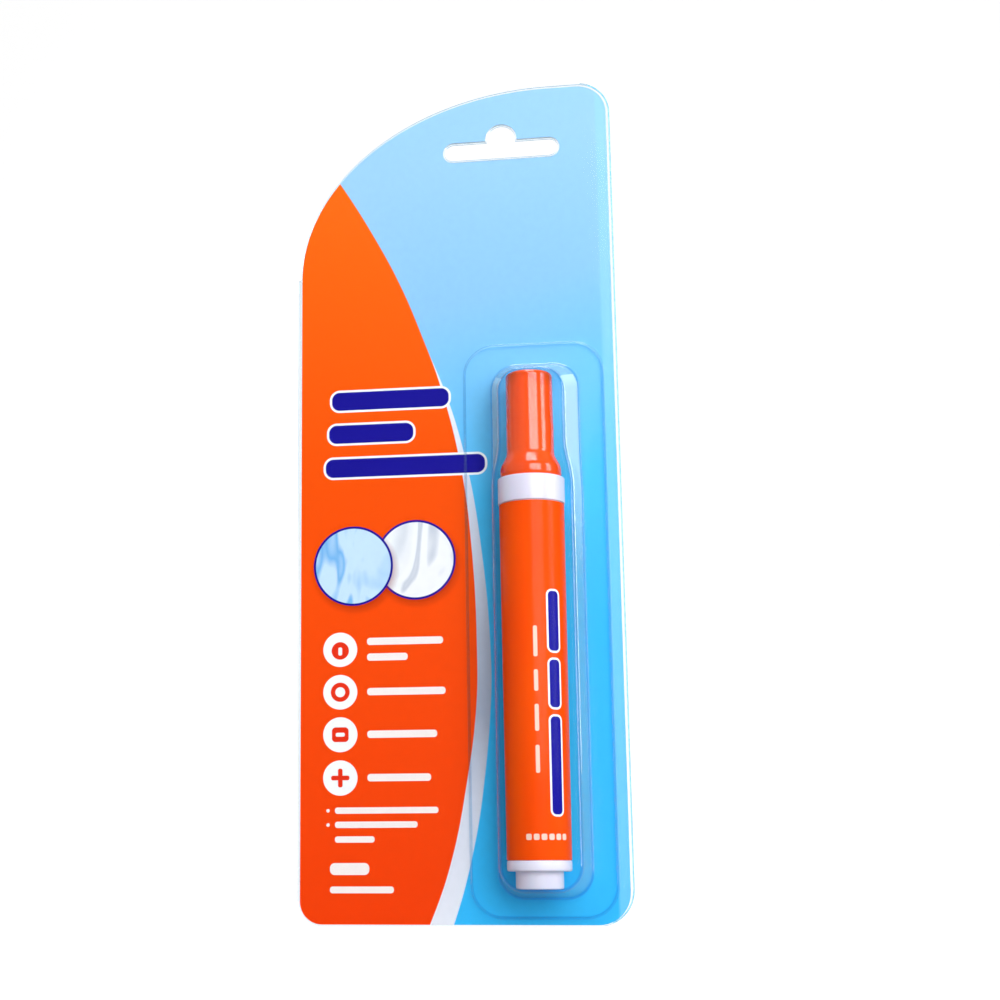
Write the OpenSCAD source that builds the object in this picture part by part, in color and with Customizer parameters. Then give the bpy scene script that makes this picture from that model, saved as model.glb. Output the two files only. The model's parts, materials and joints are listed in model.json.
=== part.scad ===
// A 10 ml stain remover pen in its clear hang pack, standing upright as it hangs.
// The front of the pack faces -Y and the origin is the centre of the peg notch,
// on the front face of the printed card.

/* [Pack] */
// Width of the clear covers
pack_w = 85; // [83:1:92]
// Height of the clear covers
pack_h = 224; // [218:1:236]
// Thickness of the clear sheet
sheet_t = 0.4; // [0.3:0.05:0.5]
// Thickness of the printed card
card_t = 0.5; // [0.3:0.1:0.8]
// Clear strip to the right of the card
side_seal = 1; // [0.8:0.1:2]
// Clear strip above the card
top_seal = 0.8; // [0.5:0.1:1.5]
// Clear strip under the card
foot_seal = 0.3; // [0.2:0.1:0.6]
// Space between the fold and the card's left edge
fold_space = 0.3; // [0.2:0.1:0.6]
// Radius of the lower left corner
left_corner_r = 6; // [3:0.5:9]
// Radius of the two right corners
right_corner_r = 9; // [5:0.5:12]
// Straight stretch of the top edge
top_flat = 8; // [4:1:14]
// How far the upper left sweep reaches down
sweep_h = 52; // [40:1:60]

/* [Hang slot] */
// Centre of the slot from the right edge
slot_from_right = 29.6; // [27:0.1:33]
// Centre of the peg notch below the top edge
notch_drop = 14.6; // [14:0.1:18]
// Length of the slot
slot_w = 31; // [28:0.5:34]
// Height of the slot
slot_h = 5; // [4.6:0.1:6]
// Radius of the peg notch
notch_r = 3.9; // [3:0.1:4.5]
// Centre of the notch above the slot's middle
notch_rise = 3.2; // [2:0.1:4]
// How much larger all round the slot is in the card
slot_margin = 0.4; // [0.2:0.1:1]

/* [Pen bed] */
// Height of the low platform round the bed
platform_h = 1.2; // [0.8:0.1:2]
// How far the platform's wall leans outwards
platform_lean = 0.6; // [0.3:0.1:1]
// Corner radius of the platform
platform_r = 8; // [5:0.5:10]
// Platform to the left of the bed
platform_left = 7.2; // [5:0.1:9]
// Platform to the right of the bed
platform_right = 6.3; // [4:0.1:7]
// Platform above the bed
platform_top = 5.8; // [4:0.1:9]
// Platform below the bed
platform_foot = 4.9; // [3:0.1:5.2]
// Gap between the pen's front and the bed's roof
roof_gap = 0.6; // [0.4:0.1:1.2]
// How much wider than the collar the roof is at each side
side_gap = 1.3; // [0.8:0.1:1.6]
// How much wider than the cap the narrower roof is at each side
cap_side_gap = 1.9; // [1.6:0.1:3]
// How far the middle of the bed lies to the right of the pen
bed_shift = 1; // [0:0.1:1]
// Gap between the pen's foot and the bed's floor
floor_gap = 0.3; // [0.2:0.1:0.8]
// Height of the bed's upper end above the cap
cap_top_gap = 4.6; // [4.6:0.1:5.4]
// How far the side walls lean over the bed's depth
wall_lean = 1.5; // [1.3:0.1:2]
// How far the top wall leans over the bed's depth
top_lean = 5.4; // [4.6:0.1:5.4]
// How far the floor wall leans over the bed's depth
floor_lean = 1.6; // [1:0.1:2]
// Corner radius of the bed
bed_r = 6; // [4:0.5:7]
// Rounding where the walls meet the roof
roof_r = 1.8; // [1.5:0.1:2.2]

/* [Pen body] */
// Pen axis from the right edge of the pack
pen_from_right = 22.8; // [21:0.1:24]
// Pen's lower end above the bottom edge of the pack
pen_z = 9.1; // [9:0.1:12]
// Gap between the collar and the card
card_gap = 0.3; // [0.2:0.1:0.6]
// Radius of the barrel at its foot
barrel_r = 7.7; // [7.4:0.1:8]
// How much wider the barrel is at the collar
barrel_draft = 0.3; // [0.1:0.05:0.4]
// Wall of the barrel
barrel_wall = 1; // [0.8:0.1:1.3]
// Length of the barrel
barrel_l = 89.4; // [84:0.1:92]
// Thickness of the printed label sleeve
label_t = 0.28; // [0.1:0.02:0.4]
// Bare barrel at each end of the label
label_end = 0.2; // [0.1:0.1:0.6]
// Radius of the stub at the pen's lower end
stub_r = 5.9; // [5:0.05:6.2]
// Length of the stub
stub_l = 4.3; // [3:0.1:6]
// Wall of the end plug
plug_wall = 1.2; // [0.9:0.1:1.6]
// Thickness of the end plug's rim
rim_l = 2.5; // [1.8:0.1:3]
// Depth of the plug and the collar inside the barrel
spigot_l = 9; // [7:0.5:12]
// Thickness of the seal rings
ring_t = 1; // [0.8:0.1:1.2]
// Gap between parts pressed into each other
seat_gap = 0.03; // [0.02:0.01:0.05]

/* [Collar and nose] */
// Radius of the collar
collar_r = 8.55; // [8.4:0.05:8.8]
// Length of the collar
collar_l = 6.7; // [5:0.1:8]
// Radius of the neck that the cap sits on
neck_r = 6.45; // [6.2:0.05:6.6]
// Length of the neck that the cap sits on
neck_l = 2.6; // [2.4:0.1:3]
// Radius of the bore that holds the valve
valve_bore_r = 4.6; // [4.4:0.1:4.8]
// Radius of the nose at its foot
nose_foot_r = 4.6; // [4.4:0.1:4.7]
// Radius of the nose at its tip
nose_tip_r = 3.3; // [3:0.1:3.6]
// Length of the nose's cone
nose_l = 7.8; // [7:0.1:8.4]
// Thickness of the nose's flange
nose_flange_t = 0.8; // [0.6:0.1:1.2]

/* [Nib and valve] */
// Radius of the felt nib
nib_r = 2.25; // [2:0.05:2.4]
// Length of the nib that stands out of the nose
nib_out = 6; // [5:0.1:6.4]
// Length of the slanted writing edge
chisel_l = 3.2; // [2:0.1:4]
// Thickness of the writing edge
chisel_t = 1.1; // [0.8:0.1:1.6]
// How far the nib presses in
nib_travel = 1.5; // [1:0.1:1.8]
// Gap round the nib and the valve stem
running_gap = 0.05; // [0.03:0.01:0.08]
// Radius of the valve stem
stem_r = 1.4; // [1.2:0.05:1.6]
// Radius of the stem's head
head_r = 2.7; // [2.5:0.05:2.9]
// Thickness of the stem's head
head_t = 1.4; // [1:0.1:1.8]
// Wall of the valve body
valve_wall = 1.1; // [0.9:0.1:1.2]
// Thickness of the valve body's top
valve_top_t = 2; // [1.5:0.1:2.5]
// Thickness of the valve gasket
gasket_t = 1; // [0.8:0.1:1.4]
// Thickness of the plate that holds the spring
retainer_t = 1.6; // [1.2:0.1:2]
// Radius of the hole in the plate that holds the spring
port_r = 1.5; // [1.3:0.1:1.7]
// Length of the spring at rest
spring_l = 8.2; // [8:0.1:9]
// Radius of the spring's curls
spring_r = 2.2; // [2:0.05:2.3]
// Radius of the spring's wire
wire_r = 0.22; // [0.18:0.01:0.26]
// Number of curls in the spring
curls = 6; // [5:1:7]

/* [Cap] */
// Length of the cap
cap_l = 27.9; // [27:0.1:30]
// Radius of the cap
cap_r = 6.15; // [6.1:0.05:6.3]
// Radius of the cap's shoulder
shoulder_r = 7.85; // [7.8:0.05:8]
// Wall of the cap
cap_wall = 1.1; // [1:0.05:1.15]
// Height of the shoulder's widest part
shoulder_l = 2.8; // [2.6:0.1:3.2]
// Height of the slope from the shoulder to the cap
flare_l = 3.4; // [3.3:0.1:3.8]
// Height of the fine step above the cap's foot
step_z = 14.3; // [12:0.1:18]
// Depth of the fine step
step_d = 0.08; // [0.04:0.01:0.12]
// Rounding of the cap's top edge
cap_edge_r = 1; // [0.6:0.1:1.4]
// Gap between the cap and the bead on the neck
cap_gap = 0.06; // [0.04:0.01:0.1]
// Wall of the inner cap
liner_wall = 0.8; // [0.7:0.05:0.9]

/* [Hidden] */
$fn = 96;

// The arcs of flat outlines
arc_steps = 12;
sweep_steps = 36;
slice_t = 0.01;
over = 1;

// The pack's layers, from the front cover to the rear cover
rear_y = card_t + sheet_t;
hinge_r = sheet_t / 2;
fold_gap = 0.05;
sweep_w = pack_w - right_corner_r - top_flat;
slot_x = pack_w - slot_from_right;
pen_x = pack_w - pen_from_right;
notch_z = pack_h - notch_drop;
slot_z = notch_z - notch_rise;

// Heights along the pen, from its lower end
rim_z = stub_l;
barrel_z = rim_z + rim_l;
collar_z = barrel_z + barrel_l;
cap_z = collar_z + collar_l;
pen_l = cap_z + cap_l;
neck_z = cap_z + neck_l;
nose_z = neck_z + nose_flange_t;
nib_tip_z = nose_z + nose_l + nib_out;

// Radii along the pen
label_r = barrel_r + seat_gap + label_t;
bore_r = barrel_r - barrel_wall;
spigot_r = bore_r - seat_gap;
pen_y = -(collar_r + card_gap);
seal_r = bore_r - ring_t / 2 - seat_gap / 2;
groove_r = seal_r - ring_t / 2 - seat_gap;
groove_half = ring_t / 2 + seat_gap;
plug_seal_z = barrel_z + spigot_l / 2;
collar_seal_z = collar_z - spigot_l / 2;
cap_rim_r = shoulder_r - cap_wall;
neck_bead_r = cap_rim_r - cap_gap;
cap_bore_r = cap_r - cap_wall;

// The nose's cone ends at its chamfered tip, and the inner cap seats on the cone
tip_edge = 0.2;
cone_r = nose_tip_r + tip_edge;
cone_z = nose_z + nose_l - 2 * tip_edge;
liner_gap = 0.2;

// The valve, from the gasket down to the spring's plate
valve_drop = 1;
valve_top_z = cap_z - valve_drop;
gasket_z = valve_top_z - valve_top_t - gasket_t;
head_z = gasket_z - head_t;
retainer_z = head_z - spring_l - retainer_t;
chamber_r = valve_bore_r - seat_gap - valve_wall;
nib_seat = 1;
nib_foot_z = valve_top_z + nib_travel + nib_seat;

// The bed of the front cover, measured on its inner face
bed_d = -pen_y + collar_r + roof_gap;
bed_foot = pen_z - floor_gap - floor_lean;
bed_top = pen_z + pen_l + cap_top_gap;
bed_half = collar_r + side_gap + wall_lean;
bed_x = pen_x + bed_shift;
step_over = 1.5;
bed_step = pen_z + cap_z + shoulder_l + flare_l + step_over;
platform_x0 = bed_x - bed_half - platform_left;
platform_x1 = bed_x + bed_half + platform_right;
platform_z0 = bed_foot - platform_foot;
platform_z1 = bed_top + platform_top;

// Points of an arc, counter-clockwise from a0 to a1
function arc(x, z, rx, rz, a0, a1, steps) =
    [for (i = [0:steps]) let (a = a0 + (a1 - a0) * i / steps)
        [x + rx * cos(a), z + rz * sin(a)]];

// Outline of the pack, drawn in by a strip at each side
function pack_outline(left, right, top, foot) = let (
    x1 = pack_w - right,
    z1 = pack_h - top,
    lr = left_corner_r - left,
    rr = right_corner_r - right
) concat(
    arc(left + lr, foot + lr, lr, lr, 180, 270, arc_steps),
    arc(x1 - rr, foot + rr, rr, rr, 270, 360, arc_steps),
    arc(x1 - rr, z1 - rr, rr, rr, 0, 90, arc_steps),
    arc(sweep_w, pack_h - sweep_h, sweep_w - left, sweep_h - top, 90, 180, sweep_steps)
);

// Outline of a rectangle with round corners
function round_box(x0, x1, z0, z1, r) = concat(
    arc(x0 + r, z0 + r, r, r, 180, 270, arc_steps),
    arc(x1 - r, z0 + r, r, r, 270, 360, arc_steps),
    arc(x1 - r, z1 - r, r, r, 0, 90, arc_steps),
    arc(x0 + r, z1 - r, r, r, 90, 180, arc_steps)
);

// Moves the pack's lower left corner to its place under the peg notch
module on_peg() {
    translate([-slot_x, 0, -notch_z]) children();
}

// Puts a piece that is drawn along +Z on the pen's axis
module on_pen() {
    on_peg() translate([pen_x, pen_y, pen_z]) children();
}

// A flat outline given thickness between two depths
module plate(y0, y1) {
    translate([0, y1, 0]) rotate([90, 0, 0]) linear_extrude(y1 - y0) children();
}

// The hang slot with its round peg notch, grown by a margin
module slot_shape(margin) {
    end_r = slot_h / 2 + margin;
    reach = slot_w / 2 - slot_h / 2;
    translate([slot_x, slot_z]) {
        square([2 * reach, 2 * end_r], center = true);
        for (side = [-1, 1]) translate([side * reach, 0]) circle(end_r);
    }
    translate([slot_x, notch_z]) circle(notch_r + margin);
}

// A ring of rectangular section
module ring(r_in, r_out, z0, z1) {
    translate([0, 0, z0]) difference() {
        cylinder(r = r_out, h = z1 - z0);
        translate([0, 0, -over]) cylinder(r = r_in, h = z1 - z0 + 2 * over);
    }
}

// A round seal ring in the barrel's bore
module seal_ring(z) {
    translate([0, 0, z]) rotate_extrude() translate([seal_r, 0]) circle(ring_t / 2, $fn = 32);
}

// One thin slice of the bed, shrunk by its inset at a depth in front of the card
module bed_slice(x_half, z0, z1, r, depth, inset) {
    plate(-depth, -depth + slice_t)
        polygon(round_box(bed_x - x_half + inset, bed_x + x_half - inset, z0 + inset, z1 - inset,
            max(r - inset, 0.5)));
}

// A stretch of the bed from the card's face to its rounded roof. The wall moves in by
// lean_x, lean_foot and lean_top on its way to the roof.
module bed_block(x_half, z0, z1, lean_x, lean_foot, lean_top, skin) {
    hull() {
        bed_slice(x_half + skin, z0 - skin, z1 + skin, bed_r + skin, slice_t, 0);
        for (a = [0:22.5:90]) {
            depth = bed_d + skin - roof_r * (1 - sin(a));
            share = (bed_d - roof_r) / bed_d;
            bed_slice(x_half - lean_x * share + skin,
                z0 + lean_foot * share - skin, z1 - lean_top * share + skin,
                bed_r + skin, depth, roof_r * (1 - cos(a)));
        }
    }
}

// The whole bed as a solid: a wide stretch for the body and a narrower one for the cap
module bed(skin) {
    cap_half = cap_r + cap_side_gap;
    bed_block(bed_half, bed_foot, bed_step, wall_lean, floor_lean, floor_lean, skin);
    bed_block(bed_half, bed_foot, bed_top, bed_half - cap_half, floor_lean, top_lean, skin);
}

// The low platform as a solid
module platform(skin) {
    hull() {
        plate(-slice_t, 0)
            polygon(round_box(platform_x0 - skin, platform_x1 + skin,
                platform_z0 - skin, platform_z1 + skin, platform_r + skin));
        plate(-platform_h - skin, -platform_h - skin + slice_t)
            polygon(round_box(platform_x0 + platform_lean - skin, platform_x1 - platform_lean + skin,
                platform_z0 + platform_lean - skin, platform_z1 - platform_lean + skin,
                platform_r - platform_lean + skin));
    }
}

module rear_cover() {
    lip_x = -hinge_r - fold_gap;
    color([0.86, 0.94, 0.98, 0.35]) on_peg() {
        plate(card_t, rear_y) difference() {
            polygon(pack_outline(0, 0, 0, 0));
            slot_shape(0);
        }
        translate([lip_x - sheet_t, 0, left_corner_r])
            cube([sheet_t, rear_y, pack_h - sweep_h - left_corner_r]);
        translate([lip_x - slice_t, card_t, left_corner_r])
            cube([-lip_x + 2 * slice_t, sheet_t, pack_h - sweep_h - left_corner_r]);
    }
}

module backing_card() {
    color([0.35, 0.79, 0.98]) on_peg() plate(0, card_t) difference() {
        polygon(pack_outline(fold_space, side_seal, top_seal, foot_seal));
        slot_shape(slot_margin);
    }
}

module front_cover() {
    color([0.8, 0.93, 1, 0.3]) on_peg() {
        difference() {
            union() {
                plate(-sheet_t, 0) polygon(pack_outline(0, 0, 0, 0));
                platform(sheet_t);
                bed(sheet_t);
            }
            platform(0);
            bed(0);
            plate(-over, over) slot_shape(0);
        }
        translate([0, -hinge_r, left_corner_r])
            cylinder(r = hinge_r, h = pack_h - sweep_h - left_corner_r);
    }
}

module barrel() {
    color([0.95, 0.95, 0.97]) on_pen() rotate_extrude() polygon([
        [bore_r, barrel_z], [barrel_r, barrel_z], [barrel_r + barrel_draft, collar_z],
        [bore_r, collar_z],
    ]);
}

module label_sleeve() {
    foot_r = barrel_r + seat_gap;
    top_r = foot_r + barrel_draft;
    color([0.99, 0.33, 0.02]) on_pen() rotate_extrude() polygon([
        [foot_r, barrel_z + label_end], [foot_r + label_t, barrel_z + label_end],
        [top_r + label_t, collar_z - label_end], [top_r, collar_z - label_end],
    ]);
}

module end_plug() {
    edge = 0.7;
    hollow_r = stub_r - plug_wall;
    color([0.94, 0.93, 0.98]) on_pen() rotate_extrude() polygon([
        [0, 0], [stub_r - edge / 2, 0], [stub_r, edge / 2], [stub_r, rim_z],
        [label_r - edge, rim_z], [label_r, rim_z + edge], [label_r, barrel_z],
        [spigot_r, barrel_z], [spigot_r, plug_seal_z - groove_half],
        [groove_r, plug_seal_z - groove_half], [groove_r, plug_seal_z + groove_half],
        [spigot_r, plug_seal_z + groove_half], [spigot_r, barrel_z + spigot_l],
        [hollow_r, barrel_z + spigot_l], [hollow_r, plug_wall], [0, plug_wall],
    ]);
}

module plug_seal() {
    color([0.2, 0.2, 0.22]) on_pen() seal_ring(plug_seal_z);
}

module collar() {
    edge = 0.25;
    bead = 0.8;
    color([0.95, 0.94, 0.98]) on_pen() rotate_extrude() polygon([
        [valve_bore_r, collar_z - spigot_l], [spigot_r, collar_z - spigot_l],
        [spigot_r, collar_seal_z - groove_half], [groove_r, collar_seal_z - groove_half],
        [groove_r, collar_seal_z + groove_half], [spigot_r, collar_seal_z + groove_half],
        [spigot_r, collar_z], [collar_r - edge, collar_z], [collar_r, collar_z + edge],
        [collar_r, cap_z - edge], [collar_r - edge, cap_z], [neck_r, cap_z],
        [neck_r, neck_z - 2 * bead], [neck_bead_r, neck_z - 1.5 * bead],
        [neck_bead_r, neck_z - bead], [neck_r, neck_z - bead / 2], [neck_r, neck_z],
        [valve_bore_r, neck_z],
    ]);
}

module collar_seal() {
    color([0.2, 0.2, 0.22]) on_pen() seal_ring(collar_seal_z);
}

module nose() {
    flange_step = 1;
    flange_r = neck_r - flange_step;
    plug_r = valve_bore_r - seat_gap;
    color([0.93, 0.93, 0.96]) on_pen() difference() {
        rotate_extrude() polygon([
            [0, valve_top_z + seat_gap], [plug_r, valve_top_z + seat_gap], [plug_r, neck_z],
            [flange_r, neck_z], [flange_r, nose_z], [nose_foot_r, nose_z],
            [cone_r, cone_z], [nose_tip_r, nose_z + nose_l],
            [0, nose_z + nose_l],
        ]);
        cylinder(r = nib_r + running_gap, h = pen_l);
    }
}

module valve_body() {
    color([0.9, 0.92, 0.95]) on_pen() {
        ring(chamber_r, valve_bore_r - seat_gap, retainer_z, valve_top_z - valve_top_t);
        ring(stem_r + running_gap, valve_bore_r - seat_gap, valve_top_z - valve_top_t, valve_top_z);
    }
}

module valve_gasket() {
    color([0.25, 0.25, 0.27]) on_pen()
        ring(stem_r + running_gap, chamber_r, gasket_z, gasket_z + gasket_t);
}

module spring_retainer() {
    color([0.85, 0.87, 0.9]) on_pen()
        ring(port_r, chamber_r - seat_gap, retainer_z, retainer_z + retainer_t);
}

// Centre of the spring's wire at a share of its length
function coil(t) = let (
    z0 = retainer_z + retainer_t + wire_r + seat_gap,
    z1 = head_z - wire_r - seat_gap
) [spring_r * cos(t * 360 * curls), spring_r * sin(t * 360 * curls), z0 + (z1 - z0) * t];

// Ring of points round the wire, square to its run
function coil_ring(t, sides) = let (
    c = coil(t),
    a = t * 360 * curls,
    rise = atan2(coil(1)[2] - coil(0)[2], 2 * PI * spring_r * curls),
    outward = [cos(a), sin(a), 0],
    upward = [sin(a) * sin(rise), -cos(a) * sin(rise), cos(rise)]
) [for (k = [0:sides - 1]) c + wire_r * (cos(k * 360 / sides) * outward + sin(k * 360 / sides) * upward)];

module valve_spring() {
    sides = 6;
    steps = 8 * curls;
    points = [for (i = [0:steps]) each coil_ring(i / steps, sides)];
    faces = concat(
        [[for (k = [0:sides - 1]) k]],
        [for (i = [0:steps - 1], k = [0:sides - 1]) let (
            low = i * sides,
            next = (k + 1) % sides
        ) [low + k, low + sides + k, low + sides + next, low + next]],
        [[for (k = [sides - 1:-1:0]) steps * sides + k]]
    );
    rings_apart = [for (i = [0:steps - 7], j = [i + 7:steps]) norm(coil(i / steps) - coil(j / steps))];
    echo("least gap of the spring to itself, mm", min(rings_apart) - 2 * wire_r);
    color([0.75, 0.76, 0.78]) on_pen() polyhedron(points, faces);
}

module valve_stem() {
    guide_r = 1.1;
    guide_room = 0.7;
    guide_l = spring_l - nib_travel - guide_room;
    color([0.92, 0.92, 0.95]) on_pen() rotate_extrude() polygon([
        [0, head_z - guide_l], [guide_r, head_z - guide_l], [guide_r, head_z], [head_r, head_z],
        [head_r, head_z + head_t], [stem_r, head_z + head_t], [stem_r, nib_foot_z], [0, nib_foot_z],
    ]);
}

module nib() {
    slope = atan2(nib_r - chisel_t / 2, chisel_l);
    color([0.97, 0.96, 0.9]) on_pen() difference() {
        translate([0, 0, nib_foot_z]) cylinder(r = nib_r, h = nib_tip_z - nib_foot_z);
        for (side = [0, 180]) rotate(side)
            translate([chisel_t / 2, 0, nib_tip_z]) rotate([0, -slope, 0])
            translate([0, -pen_l, -pen_l]) cube([pen_l, 2 * pen_l, 2 * pen_l]);
    }
}

module cap_shell() {
    top = cap_z + cap_l;
    flare_z = cap_z + shoulder_l;
    neck = flare_z + flare_l;
    steps = 8;
    foot_edge = 0.3;
    flare_edge = 0.8;
    inner_z = neck_z + foot_edge;
    color([1, 0.36, 0.03]) on_pen() rotate_extrude() polygon(concat(
        [[cap_rim_r, cap_z], [shoulder_r - foot_edge, cap_z], [shoulder_r, flare_z - flare_edge],
            [shoulder_r, flare_z], [cap_r, neck], [cap_r, cap_z + step_z],
            [cap_r - step_d, cap_z + step_z]],
        [for (i = [0:steps]) let (a = 90 * i / steps)
            [cap_r - step_d - cap_edge_r * (1 - cos(a)), top - cap_edge_r * (1 - sin(a))]],
        [[0, top], [0, top - cap_wall], [cap_bore_r, top - cap_wall], [cap_bore_r, neck],
            [cap_rim_r, inner_z]]
    ));
}

module cap_liner() {
    top = cap_z + cap_l - cap_wall;
    out_r = cap_bore_r - seat_gap;
    in_r = out_r - liner_wall;
    foot = nose_z + (cone_z - nose_z) * (nose_foot_r - in_r) / (nose_foot_r - cone_r) + liner_gap;
    color([0.96, 0.96, 0.98]) on_pen() rotate_extrude() polygon([
        [in_r, foot], [out_r, foot], [out_r, top], [0, top], [0, top - liner_wall],
        [in_r, top - liner_wall],
    ]);
}

rear_cover();
backing_card();
front_cover();
barrel();
label_sleeve();
end_plug();
plug_seal();
collar();
collar_seal();
nose();
valve_body();
valve_gasket();
spring_retainer();
valve_spring();
valve_stem();
nib();
cap_shell();
cap_liner();
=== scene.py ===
"""A stain remover pen in its clear hang pack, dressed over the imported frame."""

from __future__ import annotations

import json
import logging
import math
from abc import ABC, abstractmethod
from collections.abc import Sequence
from dataclasses import dataclass
from enum import Enum
from typing import Any

import bmesh
import bpy
from mathutils import Matrix, Vector

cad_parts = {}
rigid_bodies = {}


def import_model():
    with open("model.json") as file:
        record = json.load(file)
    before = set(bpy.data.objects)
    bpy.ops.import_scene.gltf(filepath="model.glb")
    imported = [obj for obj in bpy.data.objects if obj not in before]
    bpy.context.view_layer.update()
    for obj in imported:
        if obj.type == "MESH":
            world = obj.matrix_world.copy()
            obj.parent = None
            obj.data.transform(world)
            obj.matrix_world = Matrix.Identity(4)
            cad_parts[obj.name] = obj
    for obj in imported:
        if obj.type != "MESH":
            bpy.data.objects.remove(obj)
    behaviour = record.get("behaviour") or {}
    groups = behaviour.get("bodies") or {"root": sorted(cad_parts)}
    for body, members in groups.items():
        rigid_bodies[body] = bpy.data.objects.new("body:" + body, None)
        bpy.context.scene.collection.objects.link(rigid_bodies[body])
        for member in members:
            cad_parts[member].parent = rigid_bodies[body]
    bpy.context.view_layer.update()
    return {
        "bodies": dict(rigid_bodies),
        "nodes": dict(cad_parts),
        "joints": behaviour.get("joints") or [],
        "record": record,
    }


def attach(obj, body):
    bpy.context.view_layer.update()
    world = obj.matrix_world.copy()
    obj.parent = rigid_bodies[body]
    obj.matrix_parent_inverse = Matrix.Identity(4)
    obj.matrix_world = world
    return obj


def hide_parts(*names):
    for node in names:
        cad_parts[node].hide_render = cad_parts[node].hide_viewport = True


LOG = logging.getLogger("stain_pen")

MM = 0.001
PACK_H = 224.0
PEG_X, PEG_Z = 55.4, 209.4
PEN_X, PEN_Y, PEN_Z = 62.2, -8.85, 9.1
BED_X = 63.2
RIGHT_RIM_X = 76.0
RIM_FINISH, BEND_FINISH = 1, 2

Pair = tuple[float, float]
Triple = tuple[float, float, float]
Colour = Triple
Profile = Sequence[Triple]
Material = bpy.types.Material
Socket = bpy.types.NodeSocket
Mesh = bmesh.types.BMesh
Edge = bmesh.types.BMEdge
Vert = bmesh.types.BMVert

WHITE_INK: Colour = (255, 255, 255)
NAVY_INK: Colour = (26, 20, 150)


class Body(Enum):
    """The bodies of the frame that pieces ride on."""

    PACK = "pack"
    COVER = "cover"
    PEN = "pen"
    CAP = "cap"
    TIP = "tip"


def linear(colour: Colour) -> tuple[float, float, float, float]:
    """Turns a colour of 0 to 255 into the renderer's linear values.

    Args:
        colour: Red, green and blue as a screen shows them.

    Returns:
        Linear red, green and blue, and a full alpha.
    """
    shares = [value / 255 for value in colour]
    red, green, blue = (s / 12.92 if s <= 0.04045 else ((s + 0.055) / 1.055) ** 2.4 for s in shares)
    return red, green, blue, 1.0


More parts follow.
